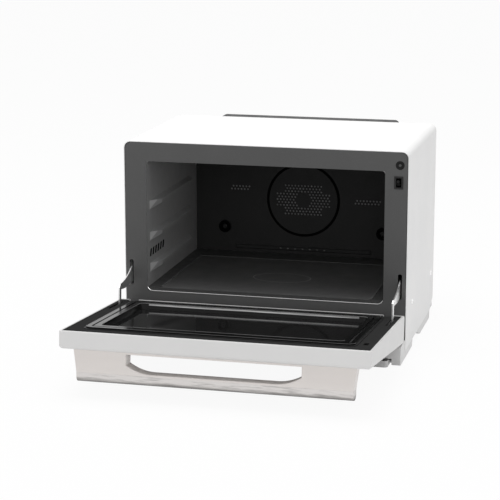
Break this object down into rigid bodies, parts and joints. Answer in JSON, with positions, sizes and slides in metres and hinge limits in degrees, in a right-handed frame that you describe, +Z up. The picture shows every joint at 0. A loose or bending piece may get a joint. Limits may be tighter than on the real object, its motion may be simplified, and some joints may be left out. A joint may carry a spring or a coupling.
{
  "type": "countertop combination oven",
  "caption": "White bench-top oven with a drop-down door on stay arms, wing handle, fan-blown dark chamber with shelf ribs, flat ceramic floor and pull-out drip tray.",
  "frame": {"origin": "on the bench, under the middle of the object's box with the door open as in the picture", "axes": "+X to the right seen from the front, +Y towards the back, +Z up"},
  "size_m": [0.4984, 0.7244, 0.356],
  "materials": {
    "white_paint": "satin white powder coat",
    "white_plastic": "fine-textured white moulding",
    "warm_white_plastic": "pearl warm white",
    "galvanised_sheet": "galvanised sheet steel",
    "black_plastic": "matt black moulding",
    "frame_enamel": "satin dark grey enamel",
    "door_enamel": "satin charcoal enamel",
    "choke_black": "semi-gloss black",
    "chamber_coating": "dark non-stick coating",
    "floor_ceramic": "dark satin glass-ceramic",
    "silicone": "dark silicone",
    "rubber": "black rubber",
    "door_glass": "black tinted glass",
    "panel_gloss": "gloss black",
    "display_tint": "smoked clear lens",
    "steel": "brushed stainless steel",
    "bright_steel": "bright zinc-plated steel",
    "fan_metal": "stamped aluminised steel",
    "heater_sheath": "heat-darkened sheath",
    "heater_mica": "mica board",
    "motor_steel": "lacquered steel",
    "circuit_board": "green laminate"
  },
  "bodies": {
    "oven": {"outer_cover": "white_paint", "cover_screws": "bright_steel", "base_pan": "galvanised_sheet", "rear_panel": "galvanised_sheet", "rear_cover": "black_plastic", "cord_gland": "black_plastic", "front_plinth": "white_plastic", "front_feet": "rubber", "rear_feet": "white_plastic", "front_frame": "frame_enamel", "latch_receptacle": "black_plastic", "door_switch": "black_plastic", "door_bumper": "rubber", "hinge_brackets": "galvanised_sheet", "hinge_pins": "bright_steel", "chamber_wrap": "chamber_coating", "chamber_back": "chamber_coating", "fan_cover": "chamber_coating", "chamber_floor": "chamber_coating", "floor_plate": "floor_ceramic", "floor_seal": "silicone", "fan_housing": "galvanised_sheet", "fan_motor": "motor_steel", "ring_heater": "heater_sheath", "upper_heater": "heater_mica", "temperature_sensor": "bright_steel", "oven_lamp": "galvanised_sheet", "waveguide": "galvanised_sheet", "antenna_motor": "motor_steel", "magnetron": "fan_metal", "inverter_board": "circuit_board", "power_board": "circuit_board", "cooling_fan_frame": "black_plastic"},
    "door": {"door_shell": "white_plastic", "door_inner_frame": "door_enamel", "choke_frame": "choke_black", "door_gasket": "silicone", "door_inner_glass": "door_glass", "door_window": "door_glass", "hinge_blocks": "galvanised_sheet", "stay_arm_brackets": "galvanised_sheet", "stay_arm_pins": "bright_steel", "handle": "warm_white_plastic", "handle_trim": "steel", "control_panel": "panel_gloss", "display_lens": "display_tint", "control_board": "circuit_board"},
    "stay_arm_left": {"stay_arm_left": "bright_steel"},
    "stay_arm_right": {"stay_arm_right": "bright_steel"},
    "dial": {"dial": "steel"},
    "button_1": {"button_1": "steel"},
    "button_2": {"button_2": "steel"},
    "button_3": {"button_3": "steel"},
    "button_4": {"button_4": "steel"},
    "drip_tray": {"drip_tray": "white_plastic"},
    "latch_hook": {"latch_hook": "black_plastic"},
    "convection_fan": {"convection_fan": "fan_metal", "motor_shaft": "bright_steel"},
    "antenna": {"antenna": "fan_metal"},
    "cooling_fan": {"cooling_fan_rotor": "black_plastic"}
  },
  "joints": [
    {"name": "door_hinge", "type": "hinge", "parent": "oven", "child": "door", "pos_m": [0, -0.05991, 0.05225], "axis": [-1, 0, 0], "range_deg": [0, 85.5]},
    {"name": "stay_arm_left", "type": "hinge", "parent": "door", "child": "stay_arm_left", "pos_m": [-0.2355, -0.09289, 0.07551], "axis": [-1, 0, 0], "range_deg": [-62, 0]},
    {"name": "stay_arm_right", "type": "hinge", "parent": "door", "child": "stay_arm_right", "pos_m": [0.2355, -0.09289, 0.07551], "axis": [-1, 0, 0], "range_deg": [-62, 0]},
    {"name": "latch_hook_pivot", "type": "hinge", "parent": "oven", "child": "latch_hook", "pos_m": [0.2305, -0.01241, 0.3037], "axis": [1, 0, 0], "range_deg": [-4, 4], "stiffness_Nm_per_rad": 0.05},
    {"name": "dial_turn", "type": "hinge", "parent": "door", "child": "dial", "pos_m": [0.16, -0.10772, 0.04256], "axis": [0, -0.1438, -0.9896], "continuous": true},
    {"name": "button_1_press", "type": "slide", "parent": "door", "child": "button_1", "axis": [0, 0.1438, 0.9896], "range_m": [0, 0.0015], "stiffness_N_per_m": 400},
    {"name": "button_2_press", "type": "slide", "parent": "door", "child": "button_2", "axis": [0, 0.1438, 0.9896], "range_m": [0, 0.0015], "stiffness_N_per_m": 400},
    {"name": "button_3_press", "type": "slide", "parent": "door", "child": "button_3", "axis": [0, 0.1438, 0.9896], "range_m": [0, 0.0015], "stiffness_N_per_m": 400},
    {"name": "button_4_press", "type": "slide", "parent": "door", "child": "button_4", "axis": [0, 0.1438, 0.9896], "range_m": [0, 0.0015], "stiffness_N_per_m": 400},
    {"name": "drip_tray_slide", "type": "slide", "parent": "oven", "child": "drip_tray", "axis": [0, -1, 0], "range_m": [0, 0.05]},
    {"name": "convection_fan_spin", "type": "hinge", "parent": "oven", "child": "convection_fan", "pos_m": [0, 0.31259, 0.203], "axis": [0, 1, 0], "continuous": true},
    {"name": "antenna_spin", "type": "hinge", "parent": "oven", "child": "antenna", "pos_m": [0, 0.11459, 0.086], "axis": [0, 0, 1], "continuous": true},
    {"name": "cooling_fan_spin", "type": "hinge", "parent": "oven", "child": "cooling_fan", "pos_m": [-0.16, 0.22459, 0.0545], "axis": [0, 1, 0], "continuous": true}
  ],
  "couplings": [
    {"joint": "stay_arm_left", "follows": "door_hinge", "ratio": -0.72},
    {"joint": "stay_arm_right", "follows": "door_hinge", "ratio": -0.72}
  ]
}
